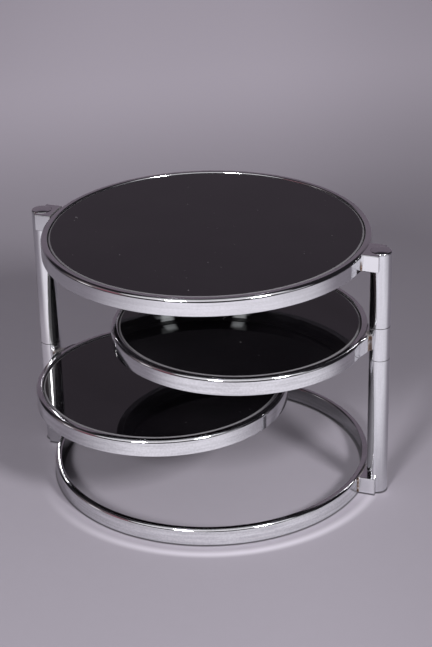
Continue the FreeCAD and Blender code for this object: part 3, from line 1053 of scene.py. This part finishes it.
@dataclass
class Bracket:
    """A bracket that joins a ring to a post or sleeve, with rust along its weld."""

    node: str
    ring: str
    diameter: float
    post: str
    body: Body
    flared: bool = False
    post_radius: float = 19 * MM
    rust_reach: float = 3.5 * MM
    rust_amount: float = 1.0
    rust_height: float = 1.0
    rust_fade: float = 3 * MM

    def build(self) -> None:
        """Model the bracket and dress it."""
        low, high = levels_of(self.node)
        ring = (middle_of(self.ring), self.diameter / 2)
        post = (middle_of(self.post), self.post_radius)
        if self.flared:
            shape = Flare(f"{self.node}_flare", *ring, *post, low, high)
        else:
            shape = Block(f"{self.node}_block", *ring, *post, low, high)
        axis, radius = post if self.flared else ring
        clean = low + (high - low) * self.rust_height
        finish = Chrome(
            f"{self.node}_chrome",
            rust_axis=axis,
            rust_radius=radius,
            rust_reach=self.rust_reach,
            rust_amount=self.rust_amount,
            rust_levels=(clean + self.rust_fade, clean - self.rust_fade),
        )
        dress(shape.build(), finish, self.body, Slot.BRACKETS, self.node)


@dataclass
class Fittings:
    """The small and hidden pieces, which keep their own shape and get a finish by their name's ending."""

    finishes: tuple[tuple[Finish, tuple[str, ...]], ...] = (
        (Moulded("bush_nylon", (0.016, 0.015, 0.016), 0.4), ("_bush",)),
        (Moulded("glide_nylon", (0.16, 0.15, 0.155), 0.5), ("floor_glides",)),
        (Moulded("pad_vinyl", (0.55, 0.55, 0.52), 0.25), ("_pads",)),
        (Satin("ledge_paint", (0.022, 0.021, 0.022), 0.4, 0.0), ("_ledge",)),
        (Satin("core_zinc", (0.5, 0.5, 0.51)), ("_core_tube", "_collars", "_foot_plug")),
        (Satin("fastener_zinc", (0.62, 0.6, 0.55), 0.3), ("_rod", "_nuts", "_washers")),
    )

    def build(self) -> None:
        """Give every CAD node that is still shown its finish."""
        for name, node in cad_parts.items():
            if node.hide_render:
                continue
            finish = next(finish for finish, endings in self.finishes if name.endswith(endings))
            node.data.materials.clear()
            node.data.materials.append(finish.material())
            LOG.info("%s is finished in %s", name, finish.name)


# The studio


@dataclass(frozen=True)
class Paper(Finish):
    """The pale floor. Its tone is painted shade, set by how far ahead of the table and to its right a place
    lies; it also bears a painted contact shadow, a painted ring of light, and painted glare and shade that
    only mirrors see.
    """

    facing: Plan = (0.3353, -0.9421)
    across: Plan = (0.9421, 0.3353)
    # tones of the painted shade behind the table, level with it and ahead of it
    back: Colour = (0.3582, 0.33408, 0.3816)
    middle: Colour = (0.3781, 0.35264, 0.4028)
    front: Colour = (0.3383, 0.31552, 0.3604)
    roughness: float = 0.75
    fibres: Pattern = Pattern(35.0, 5.0, (0.3, 0.7), 0.05)
    fibre_colour: Colour = (0.3, 0.28, 0.31)
    # painted shade towards the table's right
    dim_side: Band = (0.1, 0.6)
    dim_side_share: float = 0.14
    # painted shade that only mirrors see, inside the base ring and far from the table
    dim_inside: Band = (0.33, 0.26)
    dim_inside_share: float = 0.55
    beyond_sides: Band = (1.35, 1.65)
    beyond_end: Band = (1.45, 1.8)
    beyond_share: float = 0.93
    backdrop: Colour = (0.197, 0.178, 0.208)
    backdrop_edges: Band = (-1.05, -2.45)
    backdrop_turn: float = 0.2
    backdrop_shift: float = 0.1
    backdrop_sides: Band = (0.2, 1.1)
    backdrop_fall: float = 0.25
    caustic: Colour = (0.28, 0.27, 0.295)
    caustic_radius: float = 0.327
    caustic_edges: Band = (0.014, 0.0)
    caustic_heading: float = -60.0
    caustic_falloff: float = 1.6
    # painted glare on the floor, for mirrored rays only
    glare: Colour = (0.61, 0.61, 0.64)
    glare_ahead: Band = (0.03, 0.55)
    glare_left: Band = (-1.55, -0.4)
    glare_right: Band = (2.1, 0.6)
    glare_bend: float = 0.25
    glare_bend_ends: Band = (-0.45, 0.2)
    # painted contact shadow under the base ring, the posts and the base brackets
    contact_depth: float = 0.72
    contact_radius: float = 0.2925
    contact_edges: Band = (0.0105, 0.0065)
    post_place: float = 0.3275
    post_edges: Band = (0.0215, 0.019)
    block_end: float = 0.3305
    block_side: float = 0.028
    block_edges: Band = (0.0015, -0.001)
    block_start: Band = (0.29, 0.294)

    def coat(self, paint: Paint) -> None:
        """Fill the node tree with the paper's own tone and the light that lies on it.

        Args:
            paint: The floor's paint.
        """
        ahead, aside = (paint.along(paint.here, (*way, 0.0)) for way in (self.facing, self.across))
        # painted shade: the tone falls from the table's line towards the front and the back
        stops = ((0.0, self.back), (0.5, self.middle), (1.0, self.front))
        tone = paint.signal("ShaderNodeValToRGB", 0, {"stops": stops}, {0: ahead * 0.5 + 0.5})
        out, mirrored = paint.distance(), paint.ray("Glossy")
        contact_shadow = self.contact_shadow(paint, out)
        # painted shade that only mirrors see: the floor inside the base ring and far from the table is darker
        # in reflections
        beyond = aside.absolute().ramp(*self.beyond_sides).at_least(ahead.ramp(*self.beyond_end))
        hidden = (out.ramp(*self.dim_inside) * self.dim_inside_share).at_least(beyond * self.beyond_share)
        painted_shade = (aside.ramp(*self.dim_side) * self.dim_side_share).at_least(mirrored * hidden)
        tone = paint.blend(painted_shade.at_least(contact_shadow * self.contact_depth), tone, BLACK)
        light = paint.blend(self.cast(paint, out) * (1.0 - contact_shadow), BLACK, self.caustic)
        seen = (paint.ray("Camera") + mirrored).held()
        light = paint.blend(seen * self.rise(ahead, aside), light, self.backdrop)
        light = paint.blend(mirrored * self.pool(ahead, aside) * (1.0 - beyond), light, self.glare)
        paint.surface({
            "Base Color": paint.blend(self.fibres.on(paint), tone, self.fibre_colour),
            "Roughness": self.roughness,
            "Emission Color": light,
            "Emission Strength": 1.0,
        })

    def rise(self, ahead: Signal, aside: Signal) -> Signal:
        """Return how much of the backdrop's light lies on the floor, the more the further back."""
        fall = (aside + self.backdrop_shift).absolute().ramp(*self.backdrop_sides) * self.backdrop_fall
        return (ahead + aside * self.backdrop_turn).ramp(*self.backdrop_edges) * (1.0 - fall)

    def cast(self, paint: Paint, out: Signal) -> Signal:
        """Return how bright the ring of light is that the base ring throws on the floor."""
        ring = (out - self.caustic_radius).absolute().ramp(*self.caustic_edges)
        return ring * paint.facing(self.caustic_heading).at_least(0.0) ** self.caustic_falloff

    def pool(self, ahead: Signal, aside: Signal) -> Signal:
        """Return how bright the table's plated faces see the floor before it: a pool of painted glare that
        only mirrors see.
        """
        bent = (ahead + aside.held(*self.glare_bend_ends) * self.glare_bend).ramp(*self.glare_ahead)
        return bent * aside.ramp(*self.glare_left) * aside.ramp(*self.glare_right)

    def contact_shadow(self, paint: Paint, out: Signal) -> Signal:
        """Paint a contact shadow: darken the floor right under the base ring, its brackets and the posts.

        Args:
            paint: The floor's paint.
            out: The distance from the middle of the table.

        Returns:
            1 under the table's foot and 0 away from it.
        """
        ring = (out - self.contact_radius).absolute().ramp(*self.contact_edges)
        left, right = (paint.distance((place, 0.0)) for place in (-self.post_place, self.post_place))
        foot = left.at_most(right).ramp(*self.post_edges)
        across, along = (paint.axis(name).absolute() for name in ("X", "Y"))
        block = (across - self.block_end).at_least(along - self.block_side).ramp(*self.block_edges)
        return ring.at_least(foot).at_least(block * out.ramp(*self.block_start))


@dataclass(frozen=True)
class Softbox:
    """A square area lamp that looks at the table."""

    name: str
    azimuth: float
    elevation: float
    power: float
    distance: float = 5.0
    width: float = 0.85
    aim_height: float = 0.2
    colour: Colour = (1.0, 0.985, 1.0)

    def build(self) -> None:
        """Add the lamp."""
        data = bpy.data.lights.new(self.name, "AREA")
        data.shape = "SQUARE"
        data.size = self.width
        data.energy = self.power
        data.color = self.colour
        lamp = bpy.data.objects.new(self.name, data)
        bpy.context.scene.collection.objects.link(lamp)
        away = direction_of(self.azimuth, self.elevation)
        lamp.location = Vector((0, 0, self.aim_height)) + away * self.distance
        lamp.rotation_mode = "QUATERNION"
        lamp.rotation_quaternion = (-away).to_track_quat("-Z", "Y")
        lamp.visible_camera = False


@dataclass(frozen=True)
class Patch:
    """A soft round patch of the room that only mirrors see."""

    azimuth: float
    elevation: float
    spread: float
    colour: Colour
    core: float = 0.4

    def over(self, paint: Paint, tone: Tone) -> Signal:
        """Return the room's tone with this patch laid over it."""
        near = paint.along(paint.here, direction_of(self.azimuth, self.elevation))
        return paint.blend(near.ramp(*cone(self.spread, self.core)), tone, self.colour)


@dataclass
class Studio:
    """Floor, lamps, surroundings and camera."""

    floor_size: float = 60.0
    lamps: tuple[Softbox, ...] = (
        Softbox("softbox_right", -33.0, 33.5, 182.0),
        Softbox("softbox_left", -91.0, 28.0, 159.0),
    )
    camera_place: tuple[float, float, float] = (1.06665, -2.81672, 1.75607)
    camera_yaw: float = 20.48
    camera_pitch: float = 25.886
    camera_roll: float = 1.382
    lens: float = 100.287
    sensor: float = 36.0
    clip: Band = (0.05, 100.0)
    fill: Colour = (0.16, 0.15, 0.165)
    horizon: Colour = (0.36, 0.335, 0.375)
    room: Colour = (0.02, 0.018, 0.022)
    backdrop: Colour = (0.195, 0.162, 0.2)
    backdrop_width: Band = (0.62, 0.8)
    backdrop_height: Band = (0.75, 0.6)
    patches: tuple[Patch, ...] = (
        Patch(-150.0, 12.0, 34.0, (0.24, 0.2, 0.215)),
        Patch(-157.0, 5.0, 8.0, (1.5, 1.45, 1.5)),
        Patch(-138.0, 14.0, 13.0, (0.34, 0.1, 0.15)),
        Patch(-10.0, 12.0, 16.0, (0.55, 0.54, 0.58)),
        *(Patch(turn, lift, 21.0, (0.62, 0.61, 0.64), 0.6) for turn, lift in ((-100.0, 64.0), (-50.0, 66.0))),
        *(
            Patch(turn, lift, 21.5, (1.05, 1.03, 1.08), 0.7)
            for turn, lift in ((-112.0, 38.0), (-84.0, 40.0), (-56.0, 42.0), (-30.0, 40.0))
        ),
    )

    def build(self) -> None:
        """Set up everything round the table."""
        self.floor()
        for lamp in self.lamps:
            lamp.build()
        self.surroundings()
        self.camera()
        bpy.context.scene.view_settings.view_transform = "Standard"

    def floor(self) -> None:
        """Add the pale floor."""
        bpy.ops.object.select_all(action="DESELECT")
        bpy.ops.mesh.primitive_plane_add(size=self.floor_size, location=(0, 0, 0))
        floor = bpy.context.view_layer.objects.active
        floor.name = "floor"
        floor.data.materials.append(Paper("paper").material())

    def surroundings(self) -> None:
        """Tone the world: a pale backdrop behind the table, a dim room round the camera."""
        world = bpy.data.worlds.new("studio_room")
        bpy.context.scene.world = world
        world.use_nodes = True
        paint = Paint(world.node_tree, "Generated")
        behind = paint.along(paint.here, direction_of(self.camera_yaw + 90.0)).ramp(*self.backdrop_width)
        tone = paint.blend(behind * paint.axis("Z").ramp(*self.backdrop_height), self.room, self.backdrop)
        for patch in self.patches:
            tone = patch.over(paint, tone)
        plain = paint.blend(paint.ray("Camera"), self.fill, self.horizon)
        tone = paint.blend(paint.ray("Glossy"), plain, tone)
        shade = paint.signal("ShaderNodeBackground", 0, {}, {"Color": tone, "Strength": 1.0})
        paint.node("ShaderNodeOutputWorld", {}, {"Surface": shade})

    def camera(self) -> None:
        """Add the camera."""
        data = bpy.data.cameras.new("camera")
        data.lens = self.lens
        data.sensor_width = self.sensor
        data.clip_start, data.clip_end = self.clip
        camera = bpy.data.objects.new("camera", data)
        bpy.context.scene.collection.objects.link(camera)
        pose = Matrix.Translation(self.camera_place)
        turns = ((self.camera_yaw, "Z"), (90.0 - self.camera_pitch, "X"), (-self.camera_roll, "Z"))
        for angle, axis in turns:
            pose = pose @ Matrix.Rotation(math.radians(angle), 4, axis)
        camera.matrix_world = pose
        bpy.context.scene.camera = camera


def main() -> None:
    """Build the table and the studio."""
    logging.basicConfig(level=logging.INFO, format="%(message)s")
    fixed, tier, spread = 600 * MM, 470 * MM, 9 * MM
    base, top, middle, lower = "base_ring", "top_ring", "middle_ring", "lower_ring"
    parts = [
        TableTop("base", Body.FRAME, fixed, glazed=False),
        TableTop("top", Body.FRAME, fixed, glints=(127.5, 98.0), streaks=0.13),
        TableTop("middle", Body.MIDDLE, tier),
        TableTop("lower", Body.LOWER, tier),
        Post("right", "middle", Body.MIDDLE),
        # painted light: the left post is paler than the right and lightened low down, so that it comes out
        # brighter
        Post("left", "lower", Body.LOWER, colour=(0.68, 0.68, 0.695), polished=0.8),
        Bracket("top_bracket_right", top, fixed, "right_upper_tube", Body.FRAME, rust_height=0.55),
        Bracket("base_bracket_right", base, fixed, "right_lower_tube", Body.FRAME),
        Bracket("top_bracket_left", top, fixed, "left_upper_tube", Body.FRAME, rust_amount=0.2),
        Bracket("base_bracket_left", base, fixed, "left_lower_tube", Body.FRAME),
        Bracket("middle_bracket", middle, tier, "middle_sleeve", Body.MIDDLE, True, rust_reach=spread),
        Bracket("lower_bracket", lower, tier, "lower_sleeve", Body.LOWER, True, rust_reach=spread),
        Fittings(),
        Studio(),
    ]
    for part in parts:
        part.build()


if __name__ == "__main__":
    main()
